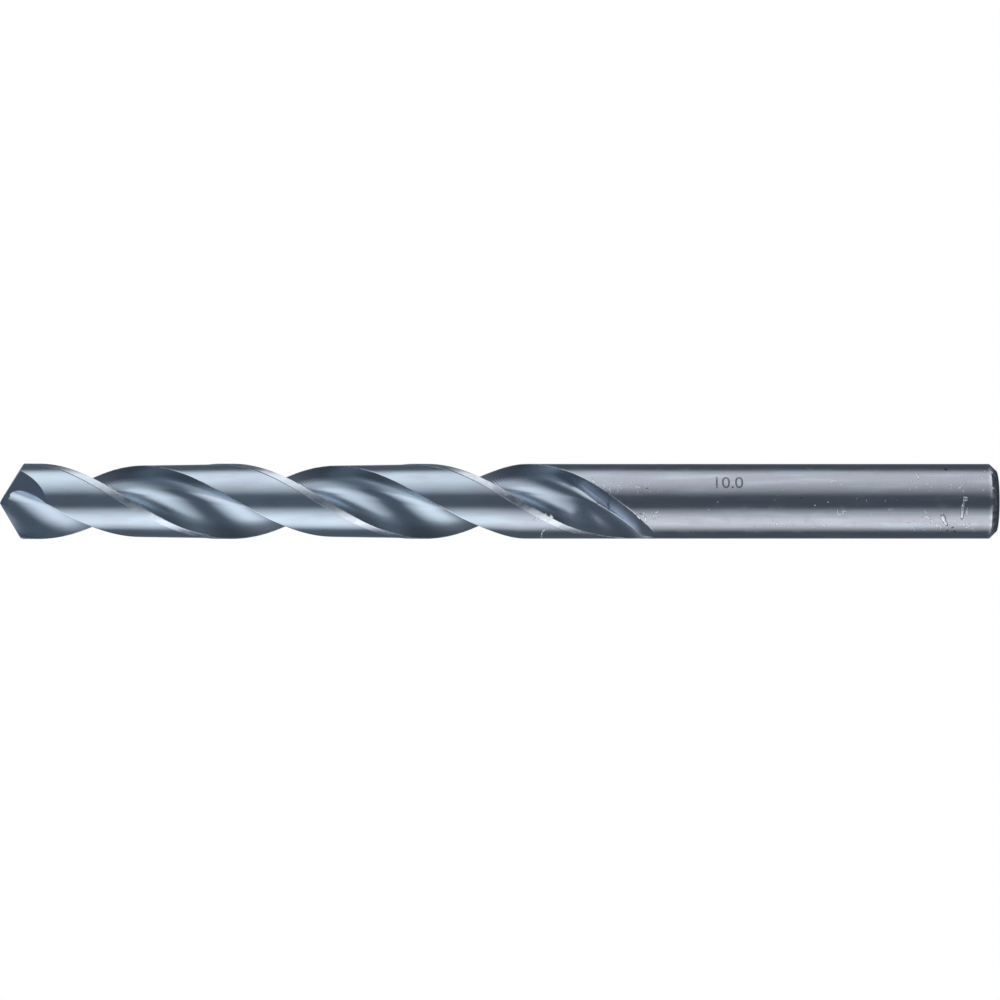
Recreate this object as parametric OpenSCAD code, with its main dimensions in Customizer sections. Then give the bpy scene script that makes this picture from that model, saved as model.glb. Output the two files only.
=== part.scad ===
// Twist drill bit, jobber length: two right-hand helical flutes, a four-facet
// point and a plain cylindrical shank, ground from one bar of high speed steel.
// It stands on the shank end: +Z runs along the axis to the point, the origin
// is the middle of the shank's end face. Lengths in millimetres.

/* [Overall] */
// Overall length, shank end to chisel edge
overall_l = 133; // [115:1:151]
// Flute length, from the chisel edge to the end of the run-out
flute_l = 87.3; // [75:0.1:95]

/* [Shank] */
// Shank diameter
shank_d = 10; // [9.9:0.01:10.05]
// Width of the 45 degree chamfer at the shank end
chamfer = 0.95; // [0.4:0.05:1.6]

/* [Cutting part] */
// Diameter over the two margins, at the point
body_d = 10.1; // [10.06:0.01:10.3]
// Axial length of one full turn of a flute
lead = 51.75; // [44:0.05:64]
// Web thickness at the point
web = 1.86; // [1.4:0.02:2.4]
// Increase of the web thickness by the end of the flutes
web_growth = 1; // [0:0.1:1.6]
// Radius between the web and the heel side of a flute
flute_r = 2.6; // [2.2:0.05:2.9]
// Slope of the flute's wall at the heel
wall_a = 68; // [60:1:76]
// Width of a margin as an angle about the axis
margin_a = 12.5; // [8:0.5:18]
// Height of the margin over the land beside it
margin_h = 0.09; // [0.04:0.01:0.15]
// Distance of the land below the margin's circle at the heel
heel_h = 0.25; // [0.16:0.01:0.4]
// Length over which the flutes lift out to the surface
lift_l = 12; // [8:0.5:18]
// Drift of the crease towards the lip side in the run-out, per mm of length
crease_drift = 0.476; // [0.2:0.002:0.56]
// Tilt of the floor down to the crease in the run-out
floor_tilt = 12; // [0:0.5:14]

/* [Point] */
// Point angle, taken over both lips
point_a = 118; // [110:1:135]
// Slope of the first facet behind a lip
lip_relief = 13; // [8:0.5:16]
// Slope of the second facet, square to the lip
heel_relief = 54.4; // [45:0.2:60]
// Slope of the second facet along the lip
heel_cant = 18.3; // [10:0.1:25]
// Turn of the lips from the X axis
clocking = 6.2; // [0:0.1:180]

/* [Hidden] */
$fn = 96;
tau = 360 / lead;
rise = 1 / tan(point_a / 2);
r_tip = body_d / 2;
r_shank = shank_d / 2;
half_web = web / 2;
relief = tan(lip_relief);
// The lines of the two lips meet on the axis at z_apex; the chisel edge lies below.
z_apex = overall_l + relief * half_web;
z_out = overall_l - flute_l;
z_lift = z_out + lift_l;
// The flute ends here, a hair before it has no width left.
z_end = z_out + 0.15;
// The land's clearance fades out between these two heights.
z_fade0 = overall_l - 70;
z_fade1 = overall_l - 64;
body_rows = 64;
lift_rows = 20;
land_n = 8;
margin_n = 2;
rake_n = 8;
round_n = 9;

function mix(a, b, t) = a + (b - a) * t;
function clamp01(t) = min(1, max(0, t));
function ease(t) = let(c = clamp01(t)) c * c * (3 - 2 * c);

// Radii by height: the margin tapers back to just under the shank.
function r_margin(z) = mix(r_shank - 0.002, r_tip, clamp01((z - z_out) / flute_l));
function clear(z) = ease((z - z_fade0) / (z_fade1 - z_fade0));
function r_land(z) = r_margin(z) - margin_h * clear(z);
function r_heel(z) = r_margin(z) - heel_h * clear(z);
function web_at(z) = half_web + web_growth / 2 * clamp01((overall_l - z) / flute_l);
function lift_at(z) = (r_margin(z) - web_at(z)) * pow(clamp01((z_lift - z) / lift_l), 2);
function rho_at(z) = mix(flute_r, 1.1, ease((z_lift + 1 - z) / 7));
function kink_at(z) = ease((z_lift - z) / 5);

// Rake side of a flute: the helical sweep of this curve makes the lip a straight line.
function edge_a(h) = asin(h / r_tip) + tau * rise * sqrt(r_tip * r_tip - h * h);
function rake_point(u, h, up) =
    let(r = sqrt(u * u + h * h))
    let(a = atan2(h, u) + tau * rise * u - edge_a(h) + edge_a(half_web))
    [r * cos(a), r * sin(a) + up];

// The wheel's own outline on the heel side, by the length s along its round and wall.
function wheel_point(s, h, up) =
    let(b = clamp01(s / (flute_r * wall_a * PI / 180)) * wall_a)
    let(t = max(0, s - flute_r * wall_a * PI / 180))
    [-flute_r * sin(b) - t * cos(wall_a), h + flute_r - flute_r * cos(b) + t * sin(wall_a) + up];

// Floor of a flute: the rake curve on the lip side, level towards the heel; in
// the run-out it tilts about the lip, down to the crease.
function floor_point(u, u1, z) =
    let(h = web_at(z), up = lift_at(z), lip = rake_point(u1, h, up))
    let(v = (u > 0 ? rake_point(u, h, up) : [u, h + up]) - lip, a = floor_tilt * ease((z_lift - 0.8 - z) / 4))
    lip + [v[0] * cos(a) - v[1] * sin(a), v[0] * sin(a) + v[1] * cos(a)];

// Where the floor and the wall would meet without their round; in the run-out
// this crease drifts to the lip side.
function crease_at(z) =
    let(d = max(0, z_lift - z))
    -flute_r * tan(wall_a / 2) + crease_drift * (d < 4.32 ? d * d / 8.64 : d - 2.16);

// Round between the floor and the wall: an arc, as a conic over its two tangents.
function round_point(t, a, k, b, w) =
    let(m = (1 - t) * (1 - t), n = 2 * t * (1 - t) * cos(w / 2), o = t * t)
    (m * a + n * k + o * b) / (m + n + o);

// Length parameters at which either side of a flute leaves the body.
function rake_end(lo, hi, h, up, r, n = 0) =
    n == 26 ? lo
    : let(m = (lo + hi) / 2)
      norm(rake_point(m, h, up)) > r ? rake_end(lo, m, h, up, r, n + 1) : rake_end(m, hi, h, up, r, n + 1);
function heel_end(lo, hi, h, up, r, n = 0) =
    n == 26 ? lo
    : let(m = (lo + hi) / 2)
      norm(wheel_point(m, h, up)) > r ? heel_end(lo, m, h, up, r, n + 1) : heel_end(m, hi, h, up, r, n + 1);

// One half of the section: land, margin, then the flute ahead of the lip.
function half_section(z) =
    let(h = web_at(z), up = lift_at(z))
    let(rm = r_margin(z), rl = r_land(z), rh = r_heel(z))
    let(u1 = rake_end(0, rm, h, up, rm))
    let(lip = rake_point(u1, h, up), heel = wheel_point(heel_end(0, 9, h, up, rh), h, up))
    let(uk = min(crease_at(z), 0.85 * u1), crease = floor_point(uk, u1, z))
    let(run = heel - crease, w = atan2(run[1], -run[0]))
    let(tangent = min(rho_at(z) * tan(w / 2), 0.8 * (u1 - uk), 0.9 * norm(run)))
    let(ua = uk + tangent, foot = floor_point(ua, u1, z), kink = kink_at(z))
    let(top = crease + tangent * mix(1, 0.3, kink) / norm(run) * run)
    let(turn = crease + 0.45 * kink * (foot - crease))
    let(a1 = atan2(lip[1], lip[0]), a0 = atan2(heel[1], heel[0]) - 180)
    let(am = a1 - min(margin_a, (a1 - a0) / 4))
    concat(
        [for (i = [0:land_n]) let(t = i / land_n, a = mix(a0, am, t), r = mix(rh, rl, t)) r * [cos(a), sin(a)]],
        [for (i = [0:margin_n - 1]) let(a = mix(am + 0.7, a1, i / margin_n)) rm * [cos(a), sin(a)]],
        [lip],
        [for (i = [1:rake_n]) floor_point(mix(u1, max(0.07 * u1, ua + 0.04 * (u1 - ua)), i / rake_n), u1, z)],
        [for (i = [0:round_n]) round_point(i / round_n, foot, turn, top, w)],
        [mix(top, heel, 1 / 3), mix(top, heel, 2 / 3)]
    );

function turned(p, a, z) = [p[0] * cos(a) - p[1] * sin(a), p[0] * sin(a) + p[1] * cos(a), z];
function ring(z) =
    let(half = half_section(z), a = clocking + tau * (z - z_apex))
    concat([for (p = half) turned(p, a, z)], [for (p = half) turned(p, a + 180, z)]);

// Rows from just above the point down to the run-out, then a short plug into the shank.
rows = concat(
    [for (i = [0:body_rows - 1]) mix(overall_l + 0.6, z_lift + 3, i / body_rows)],
    [for (i = [0:lift_rows]) mix(z_lift + 3, z_end, i / lift_rows)]
);
loops = concat([for (z = rows) ring(z)], [[for (p = ring(z_end)) [p[0], p[1], z_end - 0.5]]]);
count = len(loops[0]);
last = len(loops) - 1;

module fluted_blank() {
    polyhedron(
        points = concat([for (l = loops) for (p = l) p], [[0, 0, overall_l + 6]]),
        faces = concat(
            [for (i = [0:count - 1]) [i, count * len(loops), (i + 1) % count]],
            [for (j = [0:last - 1]) for (i = [0:count - 1])
                let(k = (i + 1) % count)
                [j * count + i, j * count + k, (j + 1) * count + k]],
            [for (j = [0:last - 1]) for (i = [0:count - 1])
                let(k = (i + 1) % count)
                [j * count + i, (j + 1) * count + k, (j + 1) * count + i]],
            [[for (i = [0:count - 1]) last * count + i]]
        ),
        convexity = 10
    );
}

// Everything above the plane that lies a + bu * u + bv * v under the apex.
module above_plane(a, bu, bv) {
    s = 9;
    foot = [for (q = [[-s, -s], [s, -s], [s, s], [-s, s]]) [q[0], q[1], z_apex - a - bu * q[0] - bv * q[1]]];
    head = [for (q = foot) [q[0], q[1], z_apex + 26]];
    polyhedron(
        points = concat(foot, head),
        faces = [[0, 1, 2, 3], [7, 6, 5, 4], [0, 4, 5, 1], [1, 5, 6, 2], [2, 6, 7, 3], [3, 7, 4, 0]]
    );
}

// The wheel that grinds the second facet stops at a leaning wall beside the other lip.
module wheel_room() {
    d = relief * half_web;
    translate([-0.06, -0.14, z_apex - d])
        rotate([0, 0, -110.6])
            rotate([-18, 0, 0])
                translate([-12, 0, -20])
                    cube([24, 20, 40]);
}

module tooth_grind() {
    above_plane(relief * half_web, rise, -relief);
    intersection() {
        above_plane(0.03, -tan(heel_cant), -tan(heel_relief));
        wheel_room();
    }
}

module point_grind() {
    rotate([0, 0, clocking]) {
        tooth_grind();
        rotate([0, 0, 180])
            tooth_grind();
    }
}

// The grinding leaves the part at its exact length, plug to chisel edge.
module cutting_part() {
    color("#7f8b99")
        resize([0, 0, overall_l - z_end + 0.5])
            difference() {
                fluted_blank();
                point_grind();
            }
}

module shank() {
    color("#8d93a0")
        rotate_extrude()
            polygon([
                [0, 0],
                [r_shank - chamfer, 0],
                [r_shank, chamfer],
                [r_shank, z_end - 0.25],
                [0, z_end - 0.25]
            ]);
}

module drill_bit() {
    union() {
        cutting_part();
        shank();
    }
}

drill_bit();
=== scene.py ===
"""Twist drill bit, dressed for the camera.

The drill stands on its shank end with +Z along its axis to the point. Sizes of
the drill are in millimetres, as on a maker's drawing, and become metres where a
mesh or a material is made. Angles are in degrees until they reach Blender.
"""
from __future__ import annotations

import logging
import math
import random
from dataclasses import dataclass, field
from enum import Enum
from typing import Callable, Sequence

import bpy
from mathutils import Matrix, Vector

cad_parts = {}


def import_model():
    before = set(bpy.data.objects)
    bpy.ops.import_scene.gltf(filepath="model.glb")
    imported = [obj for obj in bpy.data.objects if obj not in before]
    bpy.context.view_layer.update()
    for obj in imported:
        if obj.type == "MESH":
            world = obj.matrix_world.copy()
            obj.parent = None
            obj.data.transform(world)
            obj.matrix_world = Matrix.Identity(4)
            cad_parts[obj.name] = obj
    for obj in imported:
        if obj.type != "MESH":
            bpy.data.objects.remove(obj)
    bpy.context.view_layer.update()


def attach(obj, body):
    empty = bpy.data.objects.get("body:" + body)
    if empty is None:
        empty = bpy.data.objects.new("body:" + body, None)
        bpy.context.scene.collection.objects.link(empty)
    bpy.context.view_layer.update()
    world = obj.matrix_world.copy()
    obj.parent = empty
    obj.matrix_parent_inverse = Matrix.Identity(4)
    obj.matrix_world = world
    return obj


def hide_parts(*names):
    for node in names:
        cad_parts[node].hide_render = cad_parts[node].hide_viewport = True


LOG = logging.getLogger("drill")
MM = 0.001

# Sizes that the drill shares with its finishes and marks
SHANK_RADIUS = 5.0
FLUTE_LEAD = 51.75

# The picture: the height on the drill at its middle, its width at the drill's
# axis, the camera's distance from the axis, its width in units and the axis's row
VIEW_CENTRE = 66.28
VIEW_WIDTH = 133.61
VIEW_DISTANCE = 560.0
VIEW_UNITS = 1000.0
AXIS_ROW = 501.3

Colour = tuple[float, float, float]
Point2 = tuple[float, float]
Point3 = tuple[float, float, float]


def mix(a: float, b: float, t: float) -> float:
    """Return the value that lies the share t of the way from a to b."""
    return a + (b - a) * t


def clamp01(t: float) -> float:
    """Return t held between 0 and 1."""
    return min(1.0, max(0.0, t))


def ease(t: float) -> float:
    """Return t held between 0 and 1, with a soft start and end."""
    c = clamp01(t)
    return c * c * (3.0 - 2.0 * c)


def grey(value: float) -> Colour:
    """Return a neutral colour."""
    return (value, value, value)


# Finishes


class Grain(Enum):
    """Which way the grinding lines of a surface run."""

    AROUND = "around the axis"
    ALONG_FLUTE = "along the flute"
    ACROSS_POINT = "across the point"


class NodeSheet:
    """A node tree with short calls for the nodes that all finishes share."""

    def __init__(self, tree: bpy.types.NodeTree) -> None:
        """Empty the tree and keep it."""
        tree.nodes.clear()
        self.tree = tree

    @classmethod
    def of_material(cls, name: str) -> tuple[bpy.types.Material, NodeSheet]:
        """Make a material.

        Args:
            name: name of the material.

        Returns:
            The new material and its empty node tree.
        """
        material = bpy.data.materials.new(name)
        material.use_nodes = True
        return material, cls(material.node_tree)

    def add(self, kind: str, **values: object) -> bpy.types.Node:
        """Add a node.

        Args:
            kind: Blender's name of the node type.
            values: properties of the node.

        Returns:
            The new node.
        """
        node = self.tree.nodes.new(kind)
        for key, value in values.items():
            setattr(node, key, value)
        return node

    def put(self, value: object, socket: bpy.types.NodeSocket) -> None:
        """Link a socket to another, or set its value.

        Args:
            value: the socket or the plain value that is put in.
            socket: the input that takes it.
        """
        if isinstance(value, bpy.types.NodeSocket):
            self.tree.links.new(value, socket)
        else:
            socket.default_value = value

    def math(self, operation: str, *inputs: object, clamp: bool = False) -> bpy.types.NodeSocket:
        """Add a Math node.

        Args:
            operation: what it works out.
            inputs: sockets or numbers.
            clamp: whether the result is held between 0 and 1.

        Returns:
            The socket with the result.
        """
        node = self.add("ShaderNodeMath", operation=operation, use_clamp=clamp)
        for value, socket in zip(inputs, node.inputs):
            self.put(value, socket)
        return node.outputs[0]

    def vector_math(self, operation: str, *inputs: object) -> bpy.types.Node:
        """Add a Vector Math node.

        Args:
            operation: what it works out.
            inputs: sockets or vectors.

        Returns:
            The new node.
        """
        node = self.add("ShaderNodeVectorMath", operation=operation)
        for value, socket in zip(inputs, node.inputs):
            self.put(value, socket)
        return node

    def ramp(self, value: object, low: float, high: float,
             at_low: float = 0.0, at_high: float = 1.0, soft: bool = True) -> bpy.types.NodeSocket:
        """Carry a value from one range to another.

        Args:
            value: the socket that is read.
            low: where the ramp starts.
            high: where the ramp ends.
            at_low: the result at and below the start.
            at_high: the result at and above the end.
            soft: whether the ramp starts and ends softly.

        Returns:
            The socket with the carried value.
        """
        kind = "SMOOTHSTEP" if soft else "LINEAR"
        node = self.add("ShaderNodeMapRange", interpolation_type=kind, clamp=True)
        for index, entry in enumerate((value, low, high, at_low, at_high)):
            self.put(entry, node.inputs[index])
        return node.outputs[0]

    def noise(self, vector: object, scale: float, detail: float = 2.0,
              roughness: float = 0.5) -> bpy.types.NodeSocket:
        """Add a Noise Texture node.

        Args:
            vector: where the noise is read.
            scale: how fine it is, in cells per metre.
            detail: how many finer layers it has.
            roughness: how strong the finer layers are.

        Returns:
            The socket with the noise's value.
        """
        node = self.add("ShaderNodeTexNoise")
        self.put(vector, node.inputs["Vector"])
        node.inputs["Scale"].default_value = scale
        node.inputs["Detail"].default_value = detail
        node.inputs["Roughness"].default_value = roughness
        return node.outputs[0]

    def scaled(self, vector: object, factors: Point3) -> bpy.types.NodeSocket:
        """Return a vector multiplied part by part."""
        return self.vector_math("MULTIPLY", vector, factors).outputs[0]

    def blend(self, factor: object, first: object, second: object) -> bpy.types.NodeSocket:
        """Mix two colours.

        Args:
            factor: the share of the second colour.
            first: a colour or its socket.
            second: a colour or its socket.

        Returns:
            The socket with the mix.
        """
        node = self.add("ShaderNodeMix", data_type="RGBA")
        for value, socket in ((factor, node.inputs[0]), (first, node.inputs[6]), (second, node.inputs[7])):
            if isinstance(value, tuple) and len(value) == 3:
                value = (*value, 1.0)
            self.put(value, socket)
        return node.outputs[2]

    def attribute(self, name: str) -> bpy.types.NodeSocket:
        """Return the value that the mesh keeps under a name."""
        return self.add("ShaderNodeAttribute", attribute_name=name).outputs["Fac"]

    def metal(self, colour: object, roughness: object, metallic: float = 1.0) -> bpy.types.Node:
        """Add a metal shader.

        Args:
            colour: its colour or the colour's socket.
            roughness: its roughness or the roughness's socket.
            metallic: how much of a metal it is.

        Returns:
            The shader's node.
        """
        shader = self.add("ShaderNodeBsdfPrincipled")
        shader.inputs["Metallic"].default_value = metallic
        self.put(colour, shader.inputs["Base Color"])
        self.put(roughness, shader.inputs["Roughness"])
        return shader

    def close(self, shader: bpy.types.Node, kind: str = "ShaderNodeOutputMaterial") -> None:
        """Link a shader to a new output node."""
        self.put(shader.outputs[0], self.add(kind).inputs["Surface"])


@dataclass(frozen=True)
class GroundSteel:
    """Ground high speed steel, with the grain that its wheel left.

    Attributes:
        name: name of the material.
        cool: colour towards the point, blue-grey.
        warm: colour at the shank, nearly neutral.
        roughness: middle roughness.
        spread: how far the roughness wanders either way.
        grain: which way the grinding lines run.
        relief: height of the grinding lines, in millimetres.
        ridges: height of the chatter ridges of a flute, in millimetres.
        dull_and_shade: colour of the painted shade in a flute, where the steel is also left rougher, if it
            has any.
        handled: whether the surface has the smudges of use and rubbed margins.
        dull_roughness: what the rougher, shaded stretches add to the roughness.
        rubbed: colour of the rubbed margins.
        rubbed_roughness: what rubbing adds to the roughness.
        worn: colour of a worn edge.
        worn_roughness: what a worn edge adds to the roughness.
        ridge_turns: radians of the ridges' wave per millimetre across the flute and along the axis.
        turns_cool: the heights between which the colour turns from warm to cool, in millimetres.
        smudge: what a smudge adds to the roughness.
        smudges_fade: the heights between which the smudges grow to their full strength.
    """

    name: str
    cool: Colour
    warm: Colour
    roughness: float
    spread: float
    grain: Grain
    relief: float
    ridges: float = 0.0
    dull_and_shade: Colour | None = None
    handled: bool = False
    dull_roughness: float = 0.22
    rubbed: Colour = (0.84, 0.89, 0.96)
    rubbed_roughness: float = 0.13
    worn: Colour = (0.86, 0.88, 0.92)
    worn_roughness: float = 0.14
    ridge_turns: Point2 = (-19.78, -16.14)
    turns_cool: Point2 = (44.0, 84.0)
    smudge: float = 0.07
    smudges_fade: Point2 = (62.0, 48.0)

    def material(self) -> bpy.types.Material:
        """Make the material.

        Returns:
            The new material.
        """
        material, sheet = NodeSheet.of_material(self.name)
        place = sheet.add("ShaderNodeTexCoord").outputs["Object"]
        parts = sheet.add("ShaderNodeSeparateXYZ")
        sheet.put(place, parts.inputs[0])
        z = parts.outputs[2]

        colour = self._tone(sheet, place, z)
        lines = self._lines(sheet, place, z)
        wander = sheet.noise(place, 420.0, 3.0)
        rough = sheet.math("MULTIPLY_ADD", wander, 2.0 * self.spread, self.roughness - self.spread)
        rough = sheet.math("MULTIPLY_ADD", lines, 0.6 * self.spread, rough)
        height = sheet.math("MULTIPLY", lines, self.relief * MM)
        if self.ridges > 0.0:
            height = sheet.math("ADD", height, self._ridges(sheet, z))
        # Painted shade: the flute's wall and its floor near the lip are darkened, and made rougher as well
        if self.dull_and_shade:
            share = sheet.attribute("dull_and_shade")
            colour = sheet.blend(share, colour, self.dull_and_shade)
            rough = sheet.math("MULTIPLY_ADD", share, self.dull_roughness, rough)
        wear = self._edge_wear(sheet, place)
        if self.handled:
            rough = sheet.math("ADD", rough, self._smudges(sheet, place, z))
            rim = self._rubbed_rim(sheet, place)
            colour = sheet.blend(rim, colour, self.rubbed)
            rough = sheet.math("MULTIPLY_ADD", rim, self.rubbed_roughness, rough)
        colour = sheet.blend(wear, colour, self.worn)
        rough = sheet.math("MULTIPLY_ADD", wear, self.worn_roughness, rough)

        bump = sheet.add("ShaderNodeBump")
        bump.inputs["Strength"].default_value = 1.0
        bump.inputs["Distance"].default_value = 1.0
        sheet.put(height, bump.inputs["Height"])
        shader = sheet.metal(colour, rough)
        sheet.put(bump.outputs[0], shader.inputs["Normal"])
        sheet.close(shader)
        return material

    def _tone(self, sheet: NodeSheet, place: object, z: object) -> bpy.types.NodeSocket:
        """Work out the colour: cool towards the point, warm at the shank, with faint clouds.

        Args:
            sheet: the material's nodes.
            place: the socket with the place on the drill.
            z: the socket with the height.

        Returns:
            The socket with the colour.
        """
        along = sheet.ramp(z, *(height * MM for height in self.turns_cool))
        base = sheet.blend(along, self.warm, self.cool)
        clouds = sheet.noise(sheet.scaled(place, (1.0, 1.0, 0.35)), 330.0, 3.0, 0.55)
        violet = tuple(c * f for c, f in zip(self.warm, (1.02, 0.93, 1.03)))
        base = sheet.blend(sheet.ramp(clouds, 0.42, 0.72, 0.0, 0.45), base, violet)
        pale = tuple(min(1.0, c * 1.12) for c in self.cool)
        streaks = sheet.noise(sheet.scaled(place, (1.0, 1.0, 0.12)), 900.0, 2.0)
        return sheet.blend(sheet.ramp(streaks, 0.45, 0.75, 0.0, 0.4), base, pale)

    def _lines(self, sheet: NodeSheet, place: object, z: object) -> bpy.types.NodeSocket:
        """Work out the grinding lines.

        Args:
            sheet: the material's nodes.
            place: the socket with the place on the drill.
            z: the socket with the height.

        Returns:
            The socket with the lines, as a value around a half.
        """
        if self.grain is Grain.AROUND:
            return sheet.noise(sheet.scaled(place, (0.04, 0.04, 1.0)), 9000.0, 2.0, 0.6)
        if self.grain is Grain.ALONG_FLUTE:
            turn = sheet.add("ShaderNodeVectorRotate", rotation_type="Z_AXIS")
            sheet.put(place, turn.inputs["Vector"])
            sheet.put(sheet.math("MULTIPLY", z, -math.tau / (FLUTE_LEAD * MM)), turn.inputs["Angle"])
            return sheet.noise(sheet.scaled(turn.outputs[0], (1.0, 1.0, 0.02)), 7000.0, 2.0, 0.6)
        return sheet.noise(sheet.scaled(place, (1.0, 0.05, 0.4)), 9000.0, 2.0, 0.6)

    def _ridges(self, sheet: NodeSheet, z: object) -> bpy.types.NodeSocket:
        """Work out the fine diagonal ridges that the flute wheel left.

        Args:
            sheet: the material's nodes.
            z: the socket with the height.

        Returns:
            The socket with the height of the ridges, in metres.
        """
        across, along = self.ridge_turns
        sideways = sheet.math("MULTIPLY", sheet.attribute("sweep"), across)
        wave = sheet.math("SINE", sheet.math("MULTIPLY_ADD", z, along / MM, sideways))
        wave = sheet.math("MULTIPLY", wave, sheet.attribute("chatter"))
        return sheet.math("MULTIPLY", wave, self.ridges * MM)

    def _smudges(self, sheet: NodeSheet, place: object, z: object) -> bpy.types.NodeSocket:
        """Work out what the smudges of use add to the roughness, most of it on the shank.

        Args:
            sheet: the material's nodes.
            place: the socket with the place on the drill.
            z: the socket with the height.

        Returns:
            The socket with the added roughness.
        """
        blot = sheet.ramp(sheet.noise(place, 520.0, 3.0, 0.5), 0.5, 0.72, 0.0, self.smudge)
        none, full = (height * MM for height in self.smudges_fade)
        return sheet.math("MULTIPLY", blot, sheet.ramp(z, none, full, 0.15, 1.0))

    def _rubbed_rim(self, sheet: NodeSheet, place: object) -> bpy.types.NodeSocket:
        """Return how far the margins are rubbed white, in broken patches."""
        patches = sheet.noise(sheet.scaled(place, (1.0, 1.0, 0.5)), 1000.0, 2.0)
        return sheet.math("MULTIPLY", sheet.attribute("rim"), sheet.ramp(patches, 0.42, 0.6, 0.35, 1.0))

    def _edge_wear(self, sheet: NodeSheet, place: object) -> bpy.types.NodeSocket:
        """Return how far the ground edges have worn bright."""
        broken = sheet.ramp(sheet.noise(place, 1100.0, 2.0), 0.36, 0.62, 0.15, 0.9)
        return sheet.math("MULTIPLY", sheet.attribute("edge"), broken, clamp=True)


@dataclass(frozen=True)
class EtchedSteel:
    """The matt dark grey that a marking acid leaves in steel.

    Attributes:
        name: name of the material.
        dark: its darker colour.
        light: its lighter colour.
    """

    name: str = "etched_mark"
    dark: Colour = (0.16, 0.165, 0.185)
    light: Colour = (0.3, 0.31, 0.34)

    def material(self) -> bpy.types.Material:
        """Make the material.

        Returns:
            The new material.
        """
        material, sheet = NodeSheet.of_material(self.name)
        place = sheet.add("ShaderNodeTexCoord").outputs["Object"]
        mottle = sheet.noise(place, 5200.0, 3.0)
        colour = sheet.blend(sheet.ramp(mottle, 0.35, 0.65), self.dark, self.light)
        sheet.close(sheet.metal(colour, sheet.ramp(mottle, 0.3, 0.7, 0.42, 0.6), 0.8))
        return material


# The drill


class Zone(Enum):
    """The parts of the surface, each with the slot of its finish."""

    LAND = 0
    FLUTE = 1
    POINT = 2
    TURNED = 3


@dataclass(frozen=True)
class Fade:
    """A soft change from 0 to 1 along a length.

    Attributes:
        start: where it starts, in millimetres.
        run: how far it reaches from there, below zero where it goes the other way.
    """

    start: float
    run: float

    def at(self, place: float) -> float:
        """Return the share that is reached at a place."""
        return ease((place - self.start) / self.run)


@dataclass(frozen=True)
class Patch:
    """A stretch of a flute with soft borders, for the painted shade and for the wheel's chatter marks.

    Attributes:
        across: its borders across the flute, by the distance from the flute's middle.
        under_tip: its upper border, by the distance below the tip.
        over_lift: its lower border, by the height over the lift's start, if it has one.
    """

    across: tuple[Fade, ...]
    under_tip: Fade
    over_lift: Fade | None = None

    def strength(self, across: float, under_tip: float, over_lift: float) -> float:
        """Work out how far a place lies inside the stretch.

        Args:
            across: its distance from the flute's middle, towards the lip.
            under_tip: its distance below the tip.
            over_lift: its height over the lift's start.

        Returns:
            The share, 1 in the stretch and 0 outside.
        """
        share = self.under_tip.at(under_tip)
        if self.over_lift:
            share *= self.over_lift.at(over_lift)
        for border in self.across:
            share *= border.at(across)
        return share


@dataclass(frozen=True)
class Outline:
    """Half of one section of the fluted part.

    Attributes:
        points: the points, from one heel to the next, in millimetres.
        edges: how near each point is to a ground edge, from 0 to 1.
        dull_and_shade: how far each point is darkened with painted shade and left rougher, from 0 to 1.
        chatter: how strong the wheel's chatter marks are at each point, from 0 to 1.
        rim: whether each point lies on a margin, 0 or 1.
        zones: the zone of the strip that follows each point.
    """

    points: tuple[Point2, ...]
    edges: tuple[float, ...]
    dull_and_shade: tuple[float, ...]
    chatter: tuple[float, ...]
    rim: tuple[float, ...]
    zones: tuple[Zone, ...]

    def traits(self) -> dict[str, tuple[float, ...]]:
        """Gather the values that a mesh keeps for its points.

        Returns:
            The values of the points, by name.
        """
        sweep = tuple(p[0] for p in self.points)
        named = {"edge": self.edges, "dull_and_shade": self.dull_and_shade, "chatter": self.chatter, "rim": self.rim}
        return named | {"sweep": sweep}


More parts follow.
